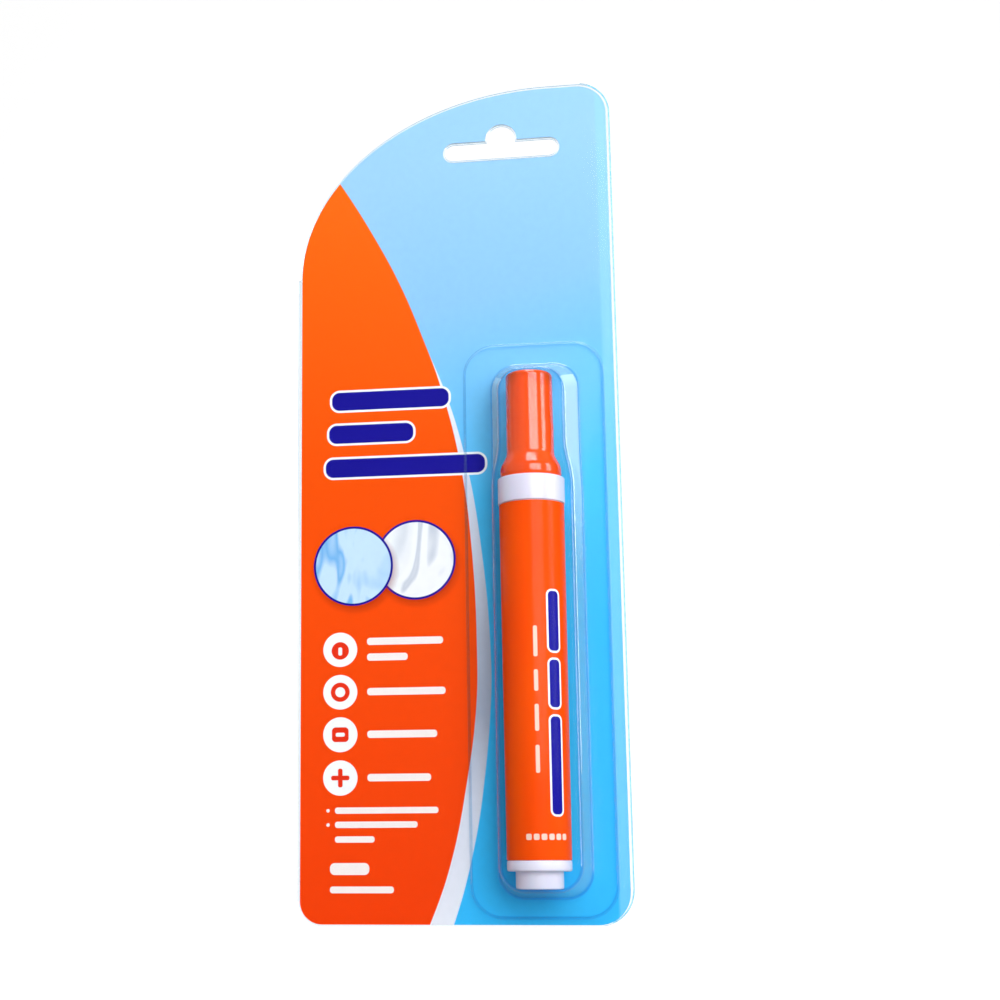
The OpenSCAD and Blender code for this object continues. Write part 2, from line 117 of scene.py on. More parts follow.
class Graph:
    """The nodes of one material or of the world, built up one at a time."""

    def __init__(self, owner: Material | bpy.types.World) -> None:
        """Starts with no nodes.

        Args:
            owner: What the nodes belong to.
        """
        owner.use_nodes = True
        self.owner = owner
        self.tree = owner.node_tree
        self.tree.nodes.clear()

    def add(self, kind: str, values: dict[Any, Any] | None = None, **settings: Any) -> bpy.types.Node:
        """Adds a node.

        Args:
            kind: Type of the node.
            values: Sockets to link, or plain values, by input name or number.
            settings: Properties of the node itself.

        Returns:
            The new node.
        """
        node = self.tree.nodes.new(kind)
        for name, value in settings.items():
            setattr(node, name, value)
        for key, value in (values or {}).items():
            if isinstance(value, Socket):
                self.tree.links.new(value, node.inputs[key])
            else:
                node.inputs[key].default_value = value
        return node

    def math(self, operation: str, *values: Any, clamp: bool = False) -> Socket:
        """Adds a Math node.

        Args:
            operation: The node's operation.
            values: Sockets or numbers for its inputs.
            clamp: Whether the result stays from 0 to 1.

        Returns:
            The result.
        """
        node = self.add("ShaderNodeMath", dict(enumerate(values)), operation=operation, use_clamp=clamp)
        return node.outputs[0]

    def vector(self, operation: str, *values: Any) -> bpy.types.Node:
        """Adds a Vector Math node with its inputs in order."""
        return self.add("ShaderNodeVectorMath", dict(enumerate(values)), operation=operation)

    def mix(self, share: Any, low: Any, high: Any) -> Socket:
        """Mixes two colours, the second one by its share."""
        node = self.add("ShaderNodeMix", {0: share, 6: low, 7: high}, data_type="RGBA")
        return node.outputs[2]

    def place(self) -> Socket:
        """The point's place in mm from the lower left corner of the card's front."""
        where = self.add("ShaderNodeTexCoord").outputs["Object"]
        return self.vector("MULTIPLY_ADD", where, (1 / MM,) * 3, (PEG_X, 0, PEG_Z)).outputs[0]

    def axes(self, vector: Socket) -> Sequence[Socket]:
        """The three parts of a vector."""
        return self.add("ShaderNodeSeparateXYZ", {0: vector}).outputs

    def noise(self, place: Any, scale: float, detail: float = 2.0, stretch: Triple = (1, 1, 1)) -> Socket:
        """Adds soft noise.

        Args:
            place: Where it is read, in mm.
            scale: Features per mm.
            detail: Finer levels in it.
            stretch: How often it repeats along each axis, against the others.

        Returns:
            The noise, from 0 to 1.
        """
        scaled = self.vector("MULTIPLY", place, stretch).outputs[0]
        values = {"Vector": scaled, "Scale": scale, "Detail": detail}
        return self.add("ShaderNodeTexNoise", values).outputs[0]

    def span(self, value: Any, start: float, end: float, low: float = 0.0, high: float = 1.0) -> Socket:
        """Takes a value from one range to another, and holds it there."""
        node = self.add("ShaderNodeMapRange", {0: value, 1: start, 2: end, 3: low, 4: high})
        return node.outputs[0]

    def ramp(self, share: Any, stops: Sequence[tuple[float, Colour]]) -> Socket:
        """Adds a colour ramp.

        Args:
            share: Where on the ramp the colour is read, from 0 to 1.
            stops: The ramp's places and colours.

        Returns:
            The colour.
        """
        node = self.add("ShaderNodeValToRGB", {0: share})
        elements = node.color_ramp.elements
        while len(elements) < len(stops):
            elements.new(0.5)
        for element, (where, colour) in zip(elements, stops):
            element.position = where
            element.color = linear(colour)
        return node.outputs[0]

    def bump(self, height: Any, strength: float, depth: float) -> Socket:
        """A surface normal from a height.

        Args:
            height: The height, from 0 to 1.
            strength: How much of the bump shows.
            depth: Its depth in mm.

        Returns:
            The normal.
        """
        values = {"Strength": strength, "Distance": depth * MM, "Height": height}
        return self.add("ShaderNodeBump", values).outputs[0]

    def seen(self) -> Socket:
        """1 where the camera sees the point, straight or through glass, and 0 to other rays."""
        rays = self.add("ShaderNodeLightPath").outputs
        return self.math("MAXIMUM", rays["Is Camera Ray"], rays["Is Transmission Ray"])

    def finish(self, shader: bpy.types.Node) -> Material:
        """Ends the material with its shader."""
        self.add("ShaderNodeOutputMaterial", {"Surface": shader.outputs[0]})
        return self.owner

    def surface(self, values: dict[str, Any]) -> Material:
        """Ends the material with one plain surface of these values."""
        return self.finish(self.add("ShaderNodeBsdfPrincipled", values))


class Finish(ABC):
    """A finish that pieces share."""

    name: str

    @abstractmethod
    def build(self) -> Material:
        """Builds the material."""

    def graph(self) -> Graph:
        """Starts the material with no nodes."""
        return Graph(bpy.data.materials.new(f"{self.name}_finish"))

    def material(self) -> Material:
        """The material, built the first time that it is asked for."""
        return bpy.data.materials.get(f"{self.name}_finish") or self.build()


@dataclass(frozen=True)
class MouldedPlastic(Finish):
    """Injection moulded plastic with a fine skin and a faint cloudiness."""

    name: str
    colour: Colour
    shade: Colour
    roughness: float = 0.3
    grain: float = 0.25
    gloss: float = 0.3
    coat: float = 0.3
    coat_roughness: float = 0.08
    coat_ior: float = 1.65
    soft: float = 0.0

    def build(self) -> Material:
        """Builds the material."""
        graph = self.graph()
        place = graph.place()
        cloud = graph.noise(place, 0.16, 3, (1, 1, 0.4))
        skin = graph.noise(place, 2.6, 3)
        drawn = graph.noise(place, 0.9, 2, (1, 1, 0.06))
        colour = graph.mix(graph.span(cloud, 0.3, 0.75), linear(self.colour), linear(self.shade))
        rough = graph.span(skin, 0.3, 0.7, self.roughness - 0.05, self.roughness + 0.06)
        height = graph.math("ADD", graph.math("MULTIPLY", skin, 0.7), graph.math("MULTIPLY", drawn, 0.3))
        return graph.surface({
            "Base Color": colour,
            "Roughness": rough,
            "Specular IOR Level": self.gloss,
            "Normal": graph.bump(height, self.grain, 0.02),
            "Coat Weight": self.coat,
            "Coat Roughness": self.coat_roughness,
            "Coat IOR": self.coat_ior,
            "Subsurface Weight": self.soft,
            "Subsurface Scale": 0.6 * MM,
        })


@dataclass(frozen=True)
class SealRubber(Finish):
    """Matt black rubber of the seals."""

    name: str = "seal_rubber"
    colour: Colour = (46, 46, 50)

    def build(self) -> Material:
        """Builds the material."""
        graph = self.graph()
        place = graph.place()
        bloom = graph.noise(place, 0.8, 4)
        pores = graph.noise(place, 7, 2)
        colour = graph.mix(graph.span(bloom, 0.4, 0.8, 0, 0.5), linear(self.colour), linear((82, 82, 86)))
        return graph.surface({
            "Base Color": colour,
            "Roughness": graph.span(bloom, 0.2, 0.8, 0.55, 0.8),
            "Normal": graph.bump(pores, 0.4, 0.03),
        })


@dataclass(frozen=True)
class SpringSteel(Finish):
    """Drawn stainless wire."""

    name: str = "spring_steel"
    colour: Colour = (196, 198, 202)

    def build(self) -> Material:
        """Builds the material."""
        graph = self.graph()
        place = graph.place()
        drawn = graph.noise(place, 5, 2, (1, 1, 4))
        colour = graph.mix(drawn, linear(self.colour), linear((150, 152, 158)))
        return graph.surface({
            "Base Color": colour,
            "Metallic": 1.0,
            "Roughness": graph.span(drawn, 0.2, 0.8, 0.18, 0.34),
            "Normal": graph.bump(drawn, 0.2, 0.01),
        })


@dataclass(frozen=True)
class NibFelt(Finish):
    """Pressed polyester fibre of the nib, with its fibres along the pen."""

    name: str = "nib_felt"
    colour: Colour = (246, 244, 232)

    def build(self) -> Material:
        """Builds the material."""
        graph = self.graph()
        place = graph.place()
        fibres = graph.noise(place, 6, 3, (1, 1, 0.12))
        pores = graph.noise(place, 3, 4)
        colour = graph.mix(graph.span(fibres, 0.3, 0.7), linear((214, 210, 192)), linear(self.colour))
        height = graph.math("ADD", graph.math("MULTIPLY", fibres, 0.6), graph.math("MULTIPLY", pores, 0.4))
        return graph.surface({
            "Base Color": colour,
            "Roughness": graph.span(pores, 0.2, 0.8, 0.8, 0.95),
            "Sheen Weight": 0.3,
            "Normal": graph.bump(height, 0.8, 0.08),
        })


@dataclass(frozen=True)
class ClearSheet(Finish):
    """Thin formed sheet: clear face on, glossier where it turns away, and paler there by a pale diffuse veil
    that is painted reflection.
    """

    name: str = "clear_sheet"
    face: Colour = (253, 254, 255)
    painted_reflection_tint: Colour = (214, 243, 255)
    veil: float = 0.85
    low_veil: float = 0.15
    veil_z: Pair = (85.0, 122.0)
    still: float = 0.004
    shine: float = 0.8

    def build(self) -> Material:
        """Builds the material."""
        graph = self.graph()
        place = graph.place()
        waves = graph.noise(place, 0.05, 2)
        skin = graph.noise(place, 1.4, 2)
        facing = graph.add("ShaderNodeLayerWeight", {"Blend": 0.5}).outputs["Facing"]
        turned = graph.math("POWER", facing, 4.0)
        clear = graph.add("ShaderNodeBsdfTransparent", {"Color": linear(self.face)})
        # Painted reflection: a pale diffuse veil where the sheet is seen at a slant, stronger from 85 mm up
        # to 122 mm of height, stands in for the white that the walls reflect.
        pale = graph.add("ShaderNodeBsdfDiffuse", {"Color": linear(self.painted_reflection_tint)})
        drawn = graph.span(graph.axes(place)[2], *self.veil_z, self.low_veil, self.veil)
        veil = graph.math("MULTIPLY", graph.span(facing, 0.55, 0.85), drawn)
        through = graph.add("ShaderNodeMixShader", {0: veil, 1: clear.outputs[0], 2: pale.outputs[0]})
        normal = graph.bump(waves, 0.25, 0.4)
        gloss = graph.add("ShaderNodeBsdfGlossy", {
            "Roughness": graph.span(skin, 0.3, 0.7, 0.05, 0.1),
            "Normal": normal,
        })
        outside = graph.math("SUBTRACT", 1.0, graph.add("ShaderNodeNewGeometry").outputs["Backfacing"])
        share = graph.math("MULTIPLY", outside, graph.span(turned, 0.0, 1.0, self.still, self.shine))
        shader = graph.add("ShaderNodeMixShader", {0: share, 1: through.outputs[0], 2: gloss.outputs[0]})
        return graph.finish(shader)


@dataclass(frozen=True)
class SheetRim(Finish):
    """The cut rim of the clear sheet, painted cyan and pale where a real rim would gather the lamps' light
    and the blue of the card.
    """

    name: str = "sheet_rim_painted_light"
    colour: Colour = (64, 190, 244)
    pale: Colour = (150, 222, 252)
    tint: Colour = (214, 242, 254)
    cover: float = 0.6

    def build(self) -> Material:
        """Builds the material."""
        graph = self.graph()
        place = graph.place()
        cut = graph.noise(place, 1.2, 3)
        # Painted light: the cyan and pale tones stand in for the card's blue and the lamps' light that the
        # rim carries.
        colour = graph.mix(graph.span(cut, 0.35, 0.7), linear(self.colour), linear(self.pale))
        body = graph.add("ShaderNodeBsdfPrincipled", {
            "Base Color": colour,
            "Roughness": graph.span(cut, 0.3, 0.7, 0.2, 0.4),
            "Normal": graph.bump(cut, 0.3, 0.03),
        })
        through = graph.add("ShaderNodeBsdfTransparent", {"Color": linear(self.tint)})
        shader = graph.add("ShaderNodeMixShader", {0: self.cover, 1: through.outputs[0], 2: body.outputs[0]})
        return graph.finish(shader)


@dataclass(frozen=True)
class Patch:
    """A printed patch with round corners, in mm of the card or of the unrolled label."""

    x0: float
    x1: float
    z0: float
    z1: float
    radius: float

    @property
    def centre(self) -> Triple:
        """The middle of the patch."""
        return (self.x0 + self.x1) / 2, 0.0, (self.z0 + self.z1) / 2

    @property
    def reach(self) -> Triple:
        """Half the patch without its rounding, and no limit in depth."""
        half_x = (self.x1 - self.x0) / 2 - self.radius
        half_z = (self.z1 - self.z0) / 2 - self.radius
        return max(half_x, 0.0), 1000.0, max(half_z, 0.0)


def word(x0: float, x1: float, z: float, height: float) -> Patch:
    """A bar that stands for a line of print, round a height."""
    return Patch(x0, x1, z - height / 2, z + height / 2, height * 0.42)


def dot(x: float, z: float, radius: float) -> Patch:
    """A round dot."""
    return Patch(x - radius, x + radius, z - radius, z + radius, radius)


class Press:
    """Lays printed patches over a ground colour."""

    def __init__(self, graph: Graph, place: Socket, ground: Socket) -> None:
        """Starts with the ground.

        Args:
            graph: The material's nodes.
            place: The print's place in mm.
            ground: The ground colour.
        """
        self.graph = graph
        self.where = place
        self.colour = ground

    def edge(self, patch: Patch) -> Socket:
        """How far a point is outside a patch.

        Args:
            patch: The patch.

        Returns:
            The distance in mm, negative inside the patch.
        """
        graph = self.graph
        away = graph.vector("ABSOLUTE", graph.vector("SUBTRACT", self.where, patch.centre).outputs[0])
        past = graph.vector("SUBTRACT", away.outputs[0], patch.reach)
        outside = graph.vector("MAXIMUM", past.outputs[0], (0, 0, 0))
        length = graph.vector("LENGTH", outside.outputs[0]).outputs["Value"]
        return graph.math("SUBTRACT", length, patch.radius)

    def stamp(self, mask: Socket, ink: Any) -> None:
        """Prints an ink where a mask is 1."""
        self.colour = self.graph.mix(mask, self.colour, ink)

    def fill(
        self, patches: Sequence[Patch], ink: Any, grow: float = 0.0, soft: float = 0.06, weight: float = 1.0
    ) -> None:
        """Prints patches in one ink.

        Args:
            patches: The patches.
            ink: Their colour.
            grow: How much larger they are all round, in mm.
            soft: Half the width of their soft edge.
            weight: How well the ink covers.
        """
        edges = [self.edge(patch) for patch in patches]
        nearest = edges[0]
        for other in edges[1:]:
            nearest = self.graph.math("MINIMUM", nearest, other)
        self.stamp(self.graph.span(nearest, grow - soft, grow + soft, weight, 0.0), ink)


@dataclass(frozen=True)
class CardPrint(Finish):
    """The card's print: a blue ground, an orange sweep with a silver rim, and bare bars and dots."""

    name: str = "printed_card"
    blend_x: float = 60.0
    blend_tilt: float = -0.0012
    edge: float = 0.07
    swatch_r: float = 10.6
    sweep: tuple[Pair, ...] = (
        (0, 33.6), (15.7, 39.3), (35.1, 43.5), (55, 46.3), (69.5, 46.7), (97.7, 45.6), (118, 43.2),
        (140.4, 38), (154.7, 33.1), (168.2, 27.8), (183.3, 20.3), (200.1, 10.4), (224, -6),
    )
    rim: tuple[Pair, ...] = (
        (0, 6.1), (15, 5.1), (31.3, 4.6), (50, 3.8), (69.5, 3.5), (99, 2.4), (120, 1.6), (137, 0.9),
        (150, 0), (224, 0),
    )

    def curve(self, graph: Graph, share: Any, points: Sequence[Pair]) -> Socket:
        """A smooth curve over the card's height.

        Args:
            graph: The material's nodes.
            share: Height as a share of the pack's.
            points: Heights and values, in mm.

        Returns:
            The value in mm.
        """
        low, reach = -20.0, 100.0
        node = graph.add("ShaderNodeFloatCurve", {"Value": share})
        line = node.mapping.curves[0]
        while len(line.points) < len(points):
            line.points.new(0.5, 0.5)
        for point, (height, value) in zip(line.points, points):
            point.location = height / PACK_H, (value - low) / reach
        node.mapping.update()
        return graph.math("MULTIPLY_ADD", node.outputs[0], reach, low)

    def cloth(self, graph: Graph, place: Any, low: Colour, high: Colour) -> Socket:
        """Soft folds in two tones.

        Args:
            graph: The material's nodes.
            place: The place in mm.
            low: The tone in the folds.
            high: The tone between them.

        Returns:
            The colour.
        """
        folds = graph.add("ShaderNodeTexNoise", {
            "Vector": graph.vector("MULTIPLY", place, (1, 1, 0.45)).outputs[0],
            "Scale": 0.085, "Detail": 1.5, "Distortion": 1.1,
        }).outputs[0]
        stops = [(0, low), (0.35, high), (0.55, high), (0.68, low), (0.9, high)]
        return graph.ramp(graph.span(folds, 0.3, 0.7), stops)

    def front(self, graph: Graph, place: Any, x: Any, z: Any) -> Socket:
        """The colour of the printed front, with a strip of painted light near its right edge.

        Args:
            graph: The material's nodes.
            place: The place in mm.
            x: Distance from the left edge.
            z: Height.

        Returns:
            The colour.
        """
        share = graph.math("DIVIDE", z, PACK_H)
        aside = graph.math("SUBTRACT", x, self.blend_x)
        ground = graph.ramp(graph.math("MULTIPLY_ADD", aside, self.blend_tilt, share), [
            (0.0, (56, 192, 252)), (0.3, (58, 192, 252)), (0.5, (78, 198, 250)), (0.75, (148, 202, 243)),
            (0.93, (162, 209, 247)),
        ])
        press = Press(graph, place, ground)
        sweep = self.curve(graph, share, self.sweep)
        rim = graph.math("ADD", sweep, self.curve(graph, share, self.rim))
        silver = graph.ramp(share, [
            (0.0, (240, 242, 250)), (0.14, (222, 226, 238)), (0.24, (172, 183, 202)),
            (0.33, (184, 194, 211)), (0.42, (214, 220, 234)), (0.6, (240, 242, 251)),
        ])
        # Painted light, not print: the blue is lightened from the platform's right edge at about 81 mm out
        # to the card's edge, standing in for the light that the clear sheet gives back there.
        press.stamp(graph.span(x, 80.8, 81.5, 0, 0.4), linear((160, 226, 255)))
        press.stamp(graph.span(graph.math("SUBTRACT", x, rim), -self.edge, self.edge, 1, 0), silver)
        orange = graph.ramp(share, [
            (0.0, (252, 66, 4)), (0.3, (253, 76, 4)), (0.52, (254, 86, 3)), (0.78, (253, 104, 14)),
            (0.9, (253, 112, 22)),
        ])
        press.stamp(graph.span(graph.math("SUBTRACT", x, sweep), -self.edge, self.edge, 1, 0), orange)
        self.title(press)
        self.swatches(graph, press)
        self.list_of_uses(press)
        return press.colour

    def title(self, press: Press) -> None:
        """Three bars where a title would stand, in navy with a white rim.

        Args:
            press: What prints them.
        """
        bars = [word(8.6, 40.2, 137.3, 5.0), word(7.8, 30.6, 128.2, 5.0), word(6.9, 49.6, 118.9, 5.0)]
        press.fill(bars, linear(WHITE_INK), grow=0.6)
        press.fill(bars, linear(NAVY_INK))

    def swatches(self, graph: Graph, press: Press) -> None:
        """Two round swatches of folded cloth with a navy rim and a soft shadow.

        Args:
            graph: The material's nodes.
            press: What prints them.
        """
        right, left = dot(30.9, 93.6, self.swatch_r), dot(14.3, 92.4, self.swatch_r)
        for swatch, low, high in (
            (right, (208, 214, 224), (250, 251, 253)),
            (left, (122, 186, 238), (205, 232, 252)),
        ):
            shade = dot(swatch.centre[0] + 0.5, swatch.centre[2] - 1.1, 10.9)
            press.fill([shade], linear((150, 38, 8)), soft=1.1, weight=0.5)
            press.fill([swatch], linear(NAVY_INK))
            press.fill([swatch], self.cloth(graph, press.where, low, high), grow=-0.6)

    def list_of_uses(self, press: Press) -> None:
        """White dots with plain signs, and the bars beside and below them.

        Args:
            press: What prints them.
        """
        rows = (70.3, 59.2, 48.2, 37.1)
        bars = [
            word(17.9, 37.9, 72.3, 1.9), word(17.9, 28.6, 68.2, 1.9), word(17.9, 38.4, rows[1], 1.9),
            word(17.9, 36.1, rows[2], 1.9), word(17.9, 34.4, rows[3], 1.9),
            word(9.4, 36.2, 28.8, 1.6), word(9.4, 30.8, 25.2, 1.6), word(9.4, 19.7, 21.5, 1.6),
            dot(7.6, 28.8, 0.45), dot(7.6, 25.2, 0.45),
            word(8.1, 18.3, 14.1, 3.0), word(8.1, 24.6, 8.9, 1.7),
        ]
        press.fill(bars, linear((255, 250, 246)), weight=0.94)
        press.fill([dot(10.8, row, 4.5) for row in rows], linear(WHITE_INK))
        ink = linear((238, 52, 22))
        press.fill([dot(10.8, rows[0] - 0.3, 2.3), dot(10.8, rows[1], 2.5)], ink)
        holes = [dot(10.8, rows[1], 1.3), Patch(10.3, 11.3, rows[0] - 1.5, rows[0] + 0.6, 0.4)]
        press.fill(holes, linear(WHITE_INK))
        press.fill([
            Patch(8.6, 13.0, rows[2] - 1.9, rows[2] + 1.9, 1.0),
            Patch(8.4, 13.2, rows[3] - 0.6, rows[3] + 0.6, 0.5),
            Patch(10.2, 11.4, rows[3] - 2.4, rows[3] + 2.4, 0.5),
        ], ink)
        press.fill([Patch(9.6, 12.0, rows[2] - 0.5, rows[2] + 0.5, 0.4)], linear(WHITE_INK))

    def back(self, graph: Graph, place: Any) -> Socket:
        """The unprinted board of the card's back and edges.

        Args:
            graph: The material's nodes.
            place: The place in mm.

        Returns:
            The colour.
        """
        fibres = graph.noise(place, 1.3, 4, (1, 1, 0.3))
        mottle = graph.noise(place, 0.12, 3)
        board = graph.mix(graph.span(mottle, 0.3, 0.7), linear((226, 226, 222)), linear((240, 240, 237)))
        return graph.mix(graph.span(fibres, 0.55, 0.75, 0, 0.6), board, linear((206, 205, 198)))

    def build(self) -> Material:
        """Builds the material."""
        graph = self.graph()
        place = graph.place()
        x, y, z = graph.axes(place)
        tooth = graph.noise(place, 3.2, 3)
        wear = graph.span(graph.noise(place, 0.5, 4), 0.35, 0.8, 0, 0.04)
        front = graph.mix(wear, self.front(graph, place, x, z), (0, 0, 0, 1))
        behind = graph.math("GREATER_THAN", y, 0.03)
        matt = graph.math("MULTIPLY", behind, 0.35)
        return graph.surface({
            "Base Color": graph.mix(behind, front, self.back(graph, place)),
            "Roughness": graph.math("ADD", graph.span(tooth, 0.3, 0.7, 0.4, 0.48), matt),
            "Specular IOR Level": 0.05,
            "Normal": graph.bump(tooth, 0.12, 0.01),
        })


@dataclass(frozen=True)
class LabelPrint(Finish):
    """The pen's orange label, with bars in place of its print."""

    name: str = "orange_label"
    radius: float = 8.0

    def unrolled(self, graph: Graph) -> Socket:
        """The label laid flat.

        Args:
            graph: The material's nodes.

        Returns:
            Mm round the pen from its front, and height.
        """
        x, y, z = graph.axes(graph.place())
        across = graph.math("SUBTRACT", x, PEN_X)
        ahead = graph.math("SUBTRACT", PEN_Y, y)
        turn = graph.math("ARCTAN2", across, ahead)
        round_pen = graph.math("MULTIPLY", turn, self.radius)
        return graph.add("ShaderNodeCombineXYZ", {0: round_pen, 2: z}).outputs[0]

    def build(self) -> Material:
        """Builds the material."""
        graph = self.graph()
        flat = self.unrolled(graph)
        solid = graph.place()
        tooth = graph.noise(solid, 3.5, 3)
        cloud = graph.noise(solid, 0.12, 2, (1, 1, 0.3))
        ground = graph.mix(graph.span(cloud, 0.35, 0.7), linear((255, 77, 1)), linear((255, 85, 2)))
        press = Press(graph, flat, ground)
        title = [Patch(4.1, 7.1, z0, z1, 1.1) for z0, z1 in ((67, 82), (53, 64.8), (27, 50.8))]
        press.fill(title, linear(WHITE_INK), grow=0.5)
        press.fill(title, linear(NAVY_INK))
        lines = ((65.5, 73.2), (57, 62.3), (47.2, 53.8), (37, 43.8))
        small = [Patch(0.2, 1.2, z0, z1, 0.4) for z0, z1 in lines]
        small += [Patch(-2.6 + 1.9 * k, -1.2 + 1.9 * k, 20.9, 22.4, 0.4) for k in range(6)]
        press.fill(small, linear((255, 226, 205)), weight=0.9)
        seam = graph.math("ABSOLUTE", graph.axes(flat)[0])
        worn = graph.span(seam, 24.2, 24.9, 0, 0.25)
        press.stamp(worn, linear((255, 190, 150)))
        return graph.surface({
            "Base Color": press.colour,
            "Roughness": graph.span(tooth, 0.3, 0.7, 0.28, 0.36),
            "Specular IOR Level": 0.05,
            "Coat Weight": 0.1,
            "Coat Roughness": 0.1,
            "Normal": graph.bump(tooth, 0.1, 0.01),
        })


@dataclass(frozen=True)
class StudioWhite(Finish):
    """White paper of the studio, seen as plain white with a little of its shade."""

    name: str = "studio_white"
    shade: float = 0.2
    glow: float = 1.1
    unseen: Colour = (150, 150, 150)

    def build(self) -> Material:
        """Builds the material."""
        graph = self.graph()
        seen = graph.seen()
        tone = graph.mix(seen, linear(self.unseen), linear(WHITE_INK))
        paper = graph.add("ShaderNodeBsdfDiffuse", {"Color": tone})
        glow = graph.add("ShaderNodeEmission", {"Color": (1, 1, 1, 1), "Strength": self.glow})
        share = graph.math("MULTIPLY", seen, 1.0 - self.shade)
        shader = graph.add("ShaderNodeMixShader", {0: share, 1: paper.outputs[0], 2: glow.outputs[0]})
        return graph.finish(shader)


CLEAR = ClearSheet()
# Painted shade: the bends of the sheet get a pale blue tint, which darkens the light through them to stand
# in for the dark line that the bent sheet shows; their stronger gloss is real reflection.
BEND = ClearSheet("bent_sheet_painted_shade", face=(218, 238, 251), veil=0.3, low_veil=0.1, still=0.09)
RIM = SheetRim()
CARD = CardPrint()
LABEL = LabelPrint()
WHITE = MouldedPlastic("white_plastic", (238, 234, 248), (229, 225, 243), roughness=0.32, soft=0.1)
ORANGE = MouldedPlastic(
    "orange_plastic", (255, 84, 2), (255, 74, 1), roughness=0.2, grain=0.12, gloss=0.05, coat=1.0
)
INNER = MouldedPlastic("inner_plastic", (226, 230, 236), (212, 218, 228), roughness=0.36)
RUBBER = SealRubber()
STEEL = SpringSteel()
FELT = NibFelt()


@dataclass(frozen=True)
class Corner:
    """A corner of a flat outline, with its rounding, in mm of the pack."""

    x: float
    z: float
    radius: float = 0.0
    steps: int = 8


def round_corner(bm: Mesh, vert: Vert, radius: float, steps: int) -> None:
    """Rounds one corner of an outline.

    Args:
        bm: The mesh.
        vert: The corner.
        radius: Its radius.
        steps: Steps of the rounding.
    """
    bmesh.ops.bevel(
        bm, geom=[vert], offset=radius, offset_type="OFFSET", segments=steps, profile=0.5,
        affect="VERTICES", material=-1,
    )


def draw_loop(bm: Mesh, corners: Sequence[Corner], depth: float) -> list[Edge]:
    """Draws a closed outline with round corners.

    Args:
        bm: The mesh.
        corners: The outline's corners in order.
        depth: Where it lies in Y.

    Returns:
        The outline's edges.
    """
    before = set(bm.edges)
    verts = [bm.verts.new((corner.x, depth, corner.z)) for corner in corners]
    for pair in zip(verts, verts[1:] + verts[:1]):
        bm.edges.new(pair)
    for vert, corner in zip(verts, corners):
        if corner.radius > 0:
            round_corner(bm, vert, corner.radius, corner.steps)
    return [edge for edge in bm.edges if edge not in before]


def fill_level(bm: Mesh, depth: float) -> None:
    """Closes the flat area between the open outlines at a depth.

    Args:
        bm: The mesh.
        depth: The depth in Y.
    """
    edges = [
        edge for edge in bm.edges
        if len(edge.link_faces) < 2 and all(abs(vert.co.y - depth) < 1e-3 for vert in edge.verts)
    ]
    bmesh.ops.triangle_fill(bm, use_beauty=True, use_dissolve=False, edges=edges, normal=(0, -1, 0))


def thicken(bm: Mesh, thickness: float, plate: float) -> None:
    """Gives an open sheet its thickness, from its front backwards, and marks its rim and bends.

    Args:
        bm: The sheet.
        thickness: Its thickness in mm.
        plate: Depth of the front of its flat plate.
    """
    bmesh.ops.remove_doubles(bm, verts=bm.verts[:], dist=1e-3)
    bmesh.ops.recalc_face_normals(bm, faces=bm.faces[:])
    if max(bm.faces, key=lambda face: face.calc_area()).normal.y > 0:
        bmesh.ops.reverse_faces(bm, faces=bm.faces[:])
    bmesh.ops.solidify(bm, geom=bm.faces[:], thickness=thickness)
    bm.normal_update()
    for face in bm.faces:
        ahead = abs(face.normal.y)
        level = all(vert.co.y > plate - 0.01 for vert in face.verts)
        right = face.calc_center_median().x > RIGHT_RIM_X and face.normal.x > 0.12
        # The plate's cut edge and its right side take the rim finish with painted light.
        if level and (ahead < 0.05 or right and ahead < 0.98):
            face.material_index = RIM_FINISH
        # Slanted faces of the platform and the bed take the finish with the painted shade.
        elif face.verts[0].co.y < -0.6 and 0.3 < ahead < 0.9:
            face.material_index = BEND_FINISH


def turn(bm: Mesh, profile: Profile, steps: int = 96) -> None:
    """Turns a closed profile round the pen's axis.

    Args:
        bm: The mesh.
        profile: Radius, height and rounding of each corner.
        steps: Steps of the turn.
    """
    verts = [bm.verts.new((radius, 0, height)) for radius, height, _ in profile]
    for pair in zip(verts, verts[1:] + verts[:1]):
        bm.edges.new(pair)
    for vert, (_, _, rounding) in zip(verts, profile):
        if rounding > 0:
            round_corner(bm, vert, rounding, 4)
    bmesh.ops.spin(
        bm, geom=bm.verts[:] + bm.edges[:], cent=(0, 0, 0), axis=(0, 0, 1), angle=math.tau, steps=steps,
        use_merge=True,
    )
    bmesh.ops.translate(bm, verts=bm.verts[:], vec=(PEN_X, PEN_Y, PEN_Z))


@dataclass
class Piece:
    """One object of the scene and how the frame carries it."""

    name: str
    finish: Finish
    slot: str
    body: Body
    nodes: tuple[str, ...] = ()
    crease: float = 32.0
    trims: tuple[Finish, ...] = ()

    def make(self, bm: Mesh) -> bpy.types.Object:
        """Turns a closed mesh in mm of the pack into the finished object.

        Args:
            bm: The mesh, which is used up.

        Returns:
            The object.
        """
        bmesh.ops.remove_doubles(bm, verts=bm.verts[:], dist=1e-3)
        bmesh.ops.dissolve_degenerate(bm, edges=bm.edges[:], dist=1e-4)
        bmesh.ops.recalc_face_normals(bm, faces=bm.faces[:])
        bmesh.ops.translate(bm, verts=bm.verts[:], vec=(-PEG_X, 0, -PEG_Z))
        bmesh.ops.scale(bm, verts=bm.verts[:], vec=(MM,) * 3)
        mesh = bpy.data.meshes.new(self.name)
        bm.to_mesh(mesh)
        bm.free()
        mesh.shade_smooth()
        mesh.set_sharp_from_angle(angle=math.radians(self.crease))
        obj = bpy.data.objects.new(self.name, mesh)
        bpy.context.scene.collection.objects.link(obj)
        for finish in (self.finish, *self.trims):
            mesh.materials.append(finish.material())
        if self.nodes:
            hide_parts(*self.nodes)
        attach(obj, self.body.value)
        LOG.info("%s: %d faces on %s", self.name, len(mesh.polygons), self.body.value)
        return obj


